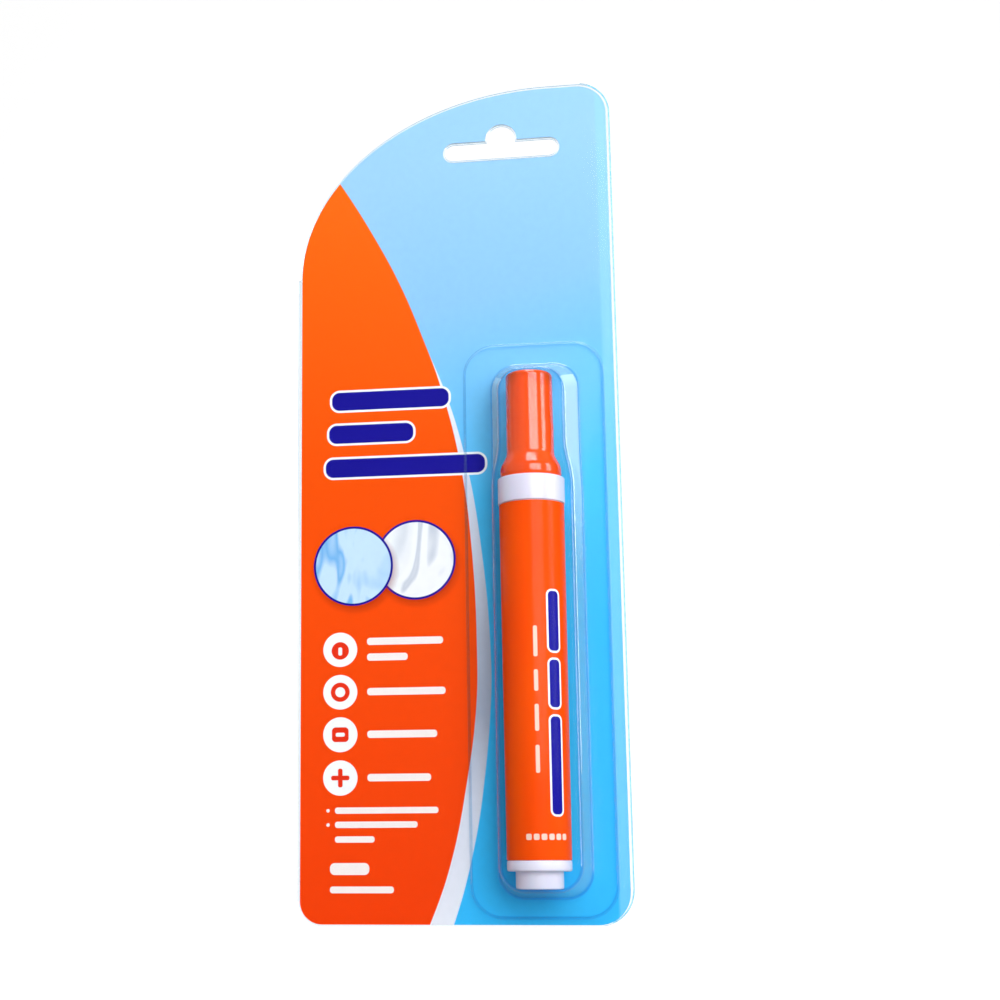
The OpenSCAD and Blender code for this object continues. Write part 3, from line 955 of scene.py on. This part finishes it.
@dataclass(frozen=True)
class PackShape:
    """The flat outline that the covers and the card share."""

    width: float = 85.0
    height: float = PACK_H
    sweep_w: float = 68.0
    sweep_h: float = 52.0
    left_r: float = 6.0
    right_r: float = 9.0
    slot_x: Pair = (39.9, 70.9)
    slot_z: Pair = (203.7, 208.7)
    notch_top: float = 213.3
    notch_r: float = 3.9

    def outline(self, bm: Mesh, depth: float, sides: Sequence[float] = (0, 0, 0, 0)) -> None:
        """Draws the outline, with the long sweep at its upper left.

        Args:
            bm: The mesh.
            depth: Where it lies in Y.
            sides: How far it is drawn in at the left, right, top and foot.
        """
        left, right, top, foot = sides
        reach, drop = self.sweep_w - left, self.sweep_h - top
        squeeze = drop / reach
        edge, head = self.width - right, self.height - top
        corners = [(left, foot), (edge, foot), (edge, head), (left, head)]
        before = set(bm.verts)
        verts = [bm.verts.new((x * squeeze, depth, z)) for x, z in corners]
        for pair in zip(verts, verts[1:] + verts[:1]):
            bm.edges.new(pair)
        round_corner(bm, verts[3], drop, 40)
        drawn = [vert for vert in bm.verts if vert not in before]
        bmesh.ops.scale(bm, verts=drawn, vec=(1 / squeeze, 1, 1))
        for vert, radius in zip(verts, (self.left_r - left, self.right_r - right, self.right_r - right)):
            round_corner(bm, vert, radius, 12)

    def slot(self, bm: Mesh, depth: float, margin: float = 0.0) -> None:
        """Draws the hang slot with its peg notch.

        Args:
            bm: The mesh.
            depth: Where it lies in Y.
            margin: How much larger it is all round.
        """
        x0, x1 = self.slot_x[0] - margin, self.slot_x[1] + margin
        low, high = self.slot_z[0] - margin, self.slot_z[1] + margin
        top, notch = self.notch_top + margin, self.notch_r + margin
        end = (high - low) / 2 - 0.01
        draw_loop(bm, [
            Corner(x0, low, end), Corner(x1, low, end), Corner(x1, high, end),
            Corner(PEG_X + notch, high), Corner(PEG_X + notch, top, notch - 0.01),
            Corner(PEG_X - notch, top, notch - 0.01), Corner(PEG_X - notch, high), Corner(x0, high, end),
        ], depth)

    def plate(
        self, piece: Piece, front: float, thickness: float,
        sides: Sequence[float] = (0, 0, 0, 0), margin: float = 0.0,
    ) -> None:
        """Makes a flat plate of the outline.

        Args:
            piece: What the plate becomes.
            front: Depth of its front.
            thickness: Its thickness.
            sides: How far it is drawn in at the left, right, top and foot.
            margin: How much larger its slot is all round.
        """
        bm = bmesh.new()
        self.outline(bm, front, sides)
        self.slot(bm, front, margin)
        fill_level(bm, front)
        thicken(bm, thickness, front)
        piece.make(bm)


@dataclass
class ClearCovers:
    """The clear front cover with its pen bed, and the flat rear cover that it folds from.

    Each pair in bed is a size at the card and its change up to the roof: half the width beside the
    body and beside the cap, and the heights of the foot and of the top.
    """

    shape: PackShape
    sheet: float = 0.4
    clearance: float = 0.04
    rim_w: float = 0.4
    rim_drop: float = 0.12
    platform_x: Pair = (44.3, 81.25)
    platform_z: Pair = (1.9, 150.7)
    platform_r: float = 8.2
    platform_d: float = 1.6
    bed: tuple[Pair, ...] = ((11.75, -1.35), (11.6, -2.82), (6.8, 1.44), (144.9, -4.86))
    bed_r: float = 6.4
    shoulder: Pair = (111.8, 117.8)
    roof_d: float = 18.4
    wall_r: float = 1.8
    fold_r: float = 0.2
    fold_foot: float = 6.0
    fold_l: float = 166.0

    def platform_loop(self, bm: Mesh, depth: float, grow: float) -> list[Edge]:
        """Draws the platform's outline.

        Args:
            bm: The mesh.
            depth: Where it lies in Y.
            grow: How much larger it is all round.

        Returns:
            The outline's edges.
        """
        x0, x1 = self.platform_x[0] - grow, self.platform_x[1] + grow
        z0, z1 = self.platform_z[0] - grow, self.platform_z[1] + grow
        radius = self.platform_r + grow
        return draw_loop(bm, [
            Corner(x0, z0, radius), Corner(x1, z0, radius), Corner(x1, z1, radius), Corner(x0, z1, radius),
        ], depth)

    def bed_loop(self, bm: Mesh, depth: float, inset: float) -> list[Edge]:
        """Draws the bed's outline at a depth.

        Args:
            bm: The mesh.
            depth: Depth in front of the card.
            inset: How far the rounding of the roof or of the foot moves it in.

        Returns:
            The outline's edges.
        """
        lean = min(depth / (self.roof_d - self.wall_r), 1.0)
        body, cap, foot, top = (size + change * lean for size, change in self.bed)
        body, cap, foot, top = body - inset, cap - inset, foot + inset, top - inset
        low, high = self.shoulder[0] - 0.4 * inset, self.shoulder[1] - inset
        radius = max(self.bed_r - inset, 2.5)
        right = [
            Corner(BED_X + body, foot, radius), Corner(BED_X + body, low, 3.2, 6),
            Corner(BED_X + cap, high, 3.0, 6), Corner(BED_X + cap, top, radius),
        ]
        left = [
            Corner(2 * BED_X - corner.x, corner.z, corner.radius, corner.steps) for corner in reversed(right)
        ]
        return draw_loop(bm, right + left, -depth)

    def outline_edges(self, bm: Mesh, depth: float, inset: float) -> list[Edge]:
        """Draws the pack's outline.

        Args:
            bm: The mesh.
            depth: Where it lies in Y.
            inset: How far it is drawn in all round.

        Returns:
            The outline's edges.
        """
        before = set(bm.edges)
        self.shape.outline(bm, depth, (inset,) * 4)
        return [edge for edge in bm.edges if edge not in before]

    def front(self) -> None:
        """Builds the formed front cover as one sheet."""
        bm = bmesh.new()
        face = -self.sheet
        rim = [self.outline_edges(bm, face + self.rim_drop, 0.0), self.outline_edges(bm, face, self.rim_w)]
        bmesh.ops.bridge_loops(bm, edges=rim[0] + rim[1])
        self.shape.slot(bm, face)
        steps = [(0.4, 0.5), (0.46, 0.24), (0.62, 0.06), (0.8, 0), (1.4, -0.3), (1.54, -0.42), (1.6, -0.62)]
        platform = [self.platform_loop(bm, -depth, grow) for depth, grow in steps]
        roof = [
            (self.roof_d - self.wall_r * (1 - math.sin(a)), self.wall_r * (1 - math.cos(a)))
            for a in (math.radians(15 * k) for k in range(1, 7))
        ]
        foot = [(1.6, -0.95), (1.7, -0.5), (1.95, -0.18), (2.4, 0)]
        walls = [(6.0, 0), (11.0, 0), (self.roof_d - self.wall_r, 0)]
        bed = [self.bed_loop(bm, depth, inset) for depth, inset in foot + walls + roof]
        for rings in (platform, bed):
            for lower, upper in zip(rings, rings[1:]):
                bmesh.ops.bridge_loops(bm, edges=lower + upper)
        fill_level(bm, face)
        fill_level(bm, -self.platform_d)
        fill_level(bm, -self.roof_d)
        thicken(bm, self.sheet - self.clearance, face)
        piece = Piece("formed_cover", CLEAR, "clear_sheet", Body.COVER, ("front_cover",), 50, (RIM, BEND))
        cover = piece.make(bm)
        flat = cover.modifiers.new("flat_shading", "WEIGHTED_NORMAL")
        flat.keep_sharp = True

    def fold(self) -> None:
        """Builds the round of the fold that the front cover turns on."""
        bm = bmesh.new()
        bmesh.ops.create_cone(
            bm, cap_ends=True, segments=20, radius1=self.fold_r, radius2=self.fold_r, depth=self.fold_l
        )
        middle = self.fold_foot + self.fold_l / 2
        bmesh.ops.translate(bm, verts=bm.verts[:], vec=(0, -self.fold_r, middle))
        Piece("fold_round", CLEAR, "clear_sheet", Body.COVER).make(bm)

    def lip(self) -> None:
        """Builds the rear cover's lip round the card's edge, up to the fold."""
        bm = bmesh.new()
        corners = [(-0.65, 0), (-0.25, 0), (-0.25, 0.5), (0, 0.5), (0, 0.9), (-0.65, 0.9)]
        base = bm.faces.new([bm.verts.new((x, y, self.fold_foot)) for x, y in corners])
        run = bmesh.ops.extrude_face_region(bm, geom=[base])
        moved = [item for item in run["geom"] if isinstance(item, Vert)]
        bmesh.ops.translate(bm, verts=moved, vec=(0, 0, self.fold_l))
        Piece("rear_lip", CLEAR, "clear_sheet", Body.PACK).make(bm)

    def build(self) -> None:
        """Builds both covers."""
        self.front()
        self.fold()
        rear = Piece("rear_sheet", CLEAR, "clear_sheet", Body.PACK, ("rear_cover",), trims=(RIM,))
        self.shape.plate(rear, 0.5, self.sheet)
        self.lip()


@dataclass
class PenBody:
    """The pen without its cap: label, end plug, collar, nose and nib."""

    frame: dict[str, Any]
    plug: Profile = (
        (0, 0, 0), (5.9, 0, 0.45), (5.9, 4.3, 0.12), (8.01, 4.3, 0.55), (8.01, 6.8, 0.1), (6.67, 6.8, 0),
        (6.67, 10.77, 0), (5.65, 10.77, 0), (5.65, 11.83, 0), (6.67, 11.83, 0), (6.67, 15.8, 0.2),
        (4.7, 15.8, 0), (4.7, 1.2, 0.4), (0, 1.2, 0),
    )
    sleeve: Profile = ((7.73, 7.0, 0), (8.01, 7.0, 0.08), (8.31, 96.0, 0.08), (8.03, 96.0, 0))
    collar: Profile = (
        (4.6, 87.2, 0), (6.67, 87.2, 0.2), (6.67, 91.17, 0), (5.65, 91.17, 0), (5.65, 92.23, 0),
        (6.67, 92.23, 0), (6.67, 96.2, 0), (8.55, 96.2, 0.25), (8.55, 102.9, 0.3), (6.45, 102.9, 0.1),
        (6.45, 103.9, 0.1), (6.69, 104.3, 0.1), (6.69, 104.7, 0.1), (6.45, 105.1, 0.1),
        (6.45, 105.5, 0.15), (4.6, 105.5, 0),
    )
    nose: Profile = (
        (2.3, 101.93, 0), (4.57, 101.93, 0), (4.57, 105.5, 0), (5.45, 105.5, 0.1), (5.45, 106.3, 0.2),
        (4.6, 106.3, 0.2), (3.5, 113.7, 0.15), (3.3, 114.1, 0.1), (2.3, 114.1, 0.1),
    )
    nib_r: float = 2.25
    nib_foot: float = 104.4
    nib_tip: float = 120.1
    edge_l: float = 3.2
    edge_t: float = 1.1

    def turned(self, name: str, profile: Profile, finish: Finish, slot: str, node: str) -> None:
        """Builds one turned piece of the pen.

        Args:
            name: Its name.
            profile: Its profile.
            finish: Its finish.
            slot: Name of its material slot, kept on the piece but not used.
            node: The node that it stands for.
        """
        bm = bmesh.new()
        turn(bm, profile)
        Piece(name, finish, slot, Body.PEN, (node,)).make(bm)

    def nib(self) -> None:
        """Builds the felt nib with its slanted writing edge."""
        bm = bmesh.new()
        length = self.nib_tip - self.nib_foot
        bmesh.ops.create_cone(
            bm, cap_ends=True, segments=64, radius1=self.nib_r, radius2=self.nib_r, depth=length,
            matrix=Matrix.Translation((0, 0, self.nib_foot + length / 2)),
        )
        for side in (-1, 1):
            cut = bmesh.ops.bisect_plane(
                bm, geom=bm.verts[:] + bm.edges[:] + bm.faces[:], dist=1e-4,
                plane_co=(side * self.edge_t / 2, 0, self.nib_tip),
                plane_no=(side * self.edge_l, 0, self.nib_r - self.edge_t / 2), clear_outer=True,
            )
            rim = [item for item in cut["geom_cut"] if isinstance(item, Edge)]
            bmesh.ops.edgeloop_fill(bm, edges=rim)
        blunt = math.radians(20)
        sharp = [edge for edge in bm.edges if edge.is_manifold and edge.calc_face_angle(0) > blunt]
        bmesh.ops.bevel(bm, geom=sharp, offset=0.16, segments=3, profile=0.5, affect="EDGES", material=-1)
        bmesh.ops.translate(bm, verts=bm.verts[:], vec=(PEN_X, PEN_Y, PEN_Z))
        Piece("felt_nib", FELT, "nib_felt", Body.TIP, ("nib",), crease=40).make(bm)

    def build(self) -> None:
        """Builds the pen's own pieces and dresses the ones inside."""
        self.turned("pen_label", self.sleeve, LABEL, "orange_label", "label_sleeve")
        self.turned("foot_plug", self.plug, WHITE, "white_plastic", "end_plug")
        self.turned("pen_collar", self.collar, WHITE, "white_plastic", "collar")
        self.turned("pen_nose", self.nose, WHITE, "white_plastic", "nose")
        self.nib()
        dress(self.frame, {
            "barrel": WHITE, "plug_seal": RUBBER, "collar_seal": RUBBER, "valve_gasket": RUBBER,
            "valve_body": INNER, "spring_retainer": INNER, "valve_stem": INNER, "valve_spring": STEEL,
        })


@dataclass
class Cap:
    """The orange cap with its flared shoulder."""

    frame: dict[str, Any]
    shell: Profile = (
        (6.75, 102.9, 0.1), (7.55, 102.9, 0.15), (7.85, 103.9, 0.3), (7.85, 105.8, 0.8), (6.15, 109.1, 0.8),
        (6.15, 117.2, 0), (6.07, 117.26, 0), (6.07, 130.8, 1.0), (0, 130.8, 0), (0, 129.7, 0),
        (5.05, 129.7, 0.3), (5.05, 109.1, 0), (6.75, 105.8, 0.3),
    )

    def build(self) -> None:
        """Builds the cap over its inner cap."""
        bm = bmesh.new()
        turn(bm, self.shell)
        Piece("pen_cap", ORANGE, "orange_plastic", Body.CAP, ("cap_shell",), crease=28).make(bm)
        dress(self.frame, {"cap_liner": WHITE})


@dataclass
class BackingCard:
    """The printed card behind the pen."""

    shape: PackShape
    thickness: float = 0.46
    sides: tuple[float, float, float, float] = (0.3, 1.0, 0.8, 0.3)
    margin: float = 0.4

    def build(self) -> None:
        """Cuts and prints the card."""
        card = Piece("card", CARD, "printed_card", Body.PACK, ("backing_card",))
        self.shape.plate(card, 0.0, self.thickness, self.sides, self.margin)


@dataclass(frozen=True)
class Lamp:
    """One soft lamp: its place and aim in mm of the frame, its size in metres, its power in watts."""

    name: str
    spot: Triple
    aim: Triple
    width: float
    height: float
    power: float

    def hang(self) -> None:
        """Hangs the lamp in the scene."""
        data = bpy.data.lights.new(self.name, "AREA")
        data.shape = "RECTANGLE"
        data.size = self.width
        data.size_y = self.height
        data.energy = self.power
        obj = bpy.data.objects.new(self.name, data)
        bpy.context.scene.collection.objects.link(obj)
        obj.location = Vector(self.spot) * MM
        obj.rotation_euler = (Vector(self.aim) - Vector(self.spot)).to_track_quat("-Z", "Y").to_euler()


@dataclass
class Studio:
    """The white sweep that the pack stands on, its lamps and the camera."""

    floor_z: float = -209.9
    lens: float = 64.2
    shift: float = 0.14
    eye: Triple = (37.98, -457.64, -194.82)
    right: Triple = (0.986, 0.1669, -0.0026)
    down: Triple = (-0.0362, 0.1984, -0.9795)
    forward: Triple = (-0.163, 0.9658, 0.2016)
    near: float = -3000.0
    far: float = 900.0
    wall: float = 2600.0
    width: float = 7000.0
    bend: float = 400.0
    world: float = 0.28
    lamps: tuple[Lamp, ...] = (
        Lamp("key_lamp", (310, -760, -40), (0, 0, -120), 0.6, 0.8, 7.5),
        Lamp("fill_lamp", (-700, -560, -60), (-10, 0, -110), 1.2, 1.4, 0.9),
        Lamp("side_lamp", (820, -240, -80), (0, 0, -110), 0.3, 1.0, 4.4),
        Lamp("top_lamp", (60, -300, 760), (0, 0, -110), 0.5, 0.5, 5.4),
        Lamp("rear_lamp", (420, 760, 120), (0, 0, -110), 0.5, 0.5, 6.5),
    )

    def sweep(self) -> None:
        """Builds the floor and backdrop as one bent sheet."""
        bm = bmesh.new()
        points = [(self.near, 0), (self.far, 0), (self.far, self.wall)]
        verts = [bm.verts.new((-self.width / 2, y, self.floor_z + z)) for y, z in points]
        for pair in zip(verts, verts[1:]):
            bm.edges.new(pair)
        round_corner(bm, verts[1], self.bend, 16)
        run = bmesh.ops.extrude_edge_only(bm, edges=bm.edges[:])
        moved = [item for item in run["geom"] if isinstance(item, Vert)]
        bmesh.ops.translate(bm, verts=moved, vec=(self.width, 0, 0))
        bmesh.ops.scale(bm, verts=bm.verts[:], vec=(MM,) * 3)
        bmesh.ops.recalc_face_normals(bm, faces=bm.faces[:])
        mesh = bpy.data.meshes.new("studio_sweep")
        bm.to_mesh(mesh)
        bm.free()
        mesh.shade_smooth()
        obj = bpy.data.objects.new("studio_sweep", mesh)
        bpy.context.scene.collection.objects.link(obj)
        mesh.materials.append(StudioWhite().material())

    def ambient(self) -> None:
        """Sets the soft light from all sides, and plain white where the camera looks past the sweep."""
        world = bpy.data.worlds.new("studio_light")
        bpy.context.scene.world = world
        graph = Graph(world)
        level = graph.span(graph.seen(), 0.0, 1.0, self.world, 1.0)
        sky = graph.add("ShaderNodeBackground", {"Color": (1, 1, 1, 1), "Strength": level})
        graph.add("ShaderNodeOutputWorld", {0: sky.outputs[0]})

    def camera(self) -> None:
        """Sets the camera at the photograph's angle."""
        data = bpy.data.cameras.new("studio_camera")
        data.lens = self.lens
        data.sensor_width = 36.0
        data.shift_x = self.shift
        data.clip_start = 0.01
        obj = bpy.data.objects.new("studio_camera", data)
        bpy.context.scene.collection.objects.link(obj)
        rows = (self.right, [-part for part in self.down], [-part for part in self.forward])
        axes = Matrix(rows).transposed()
        obj.matrix_world = Matrix.Translation(Vector(self.eye) * MM) @ axes.to_4x4()
        bpy.context.scene.camera = obj

    def build(self) -> None:
        """Builds the studio."""
        self.camera()
        self.sweep()
        for lamp in self.lamps:
            lamp.hang()
        self.ambient()
        bpy.context.scene.view_settings.view_transform = "Standard"


def dress(frame: dict[str, Any], finishes: dict[str, Finish]) -> None:
    """Gives nodes of the frame their finishes.

    Args:
        frame: The loaded frame.
        finishes: The finish of each node.
    """
    for node, finish in finishes.items():
        obj = frame["nodes"][node]
        material = finish.material()
        for slot in obj.material_slots:
            slot.material = material
        if not obj.material_slots:
            obj.data.materials.append(material)
        LOG.info("%s: dressed in %s", node, finish.name)


def main() -> None:
    """Builds the scene over the frame."""
    logging.basicConfig(level=logging.INFO, format="%(name)s %(message)s")
    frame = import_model()
    Studio().build()
    shape = PackShape()
    BackingCard(shape).build()
    ClearCovers(shape).build()
    PenBody(frame).build()
    Cap(frame).build()


if __name__ == "__main__":
    main()
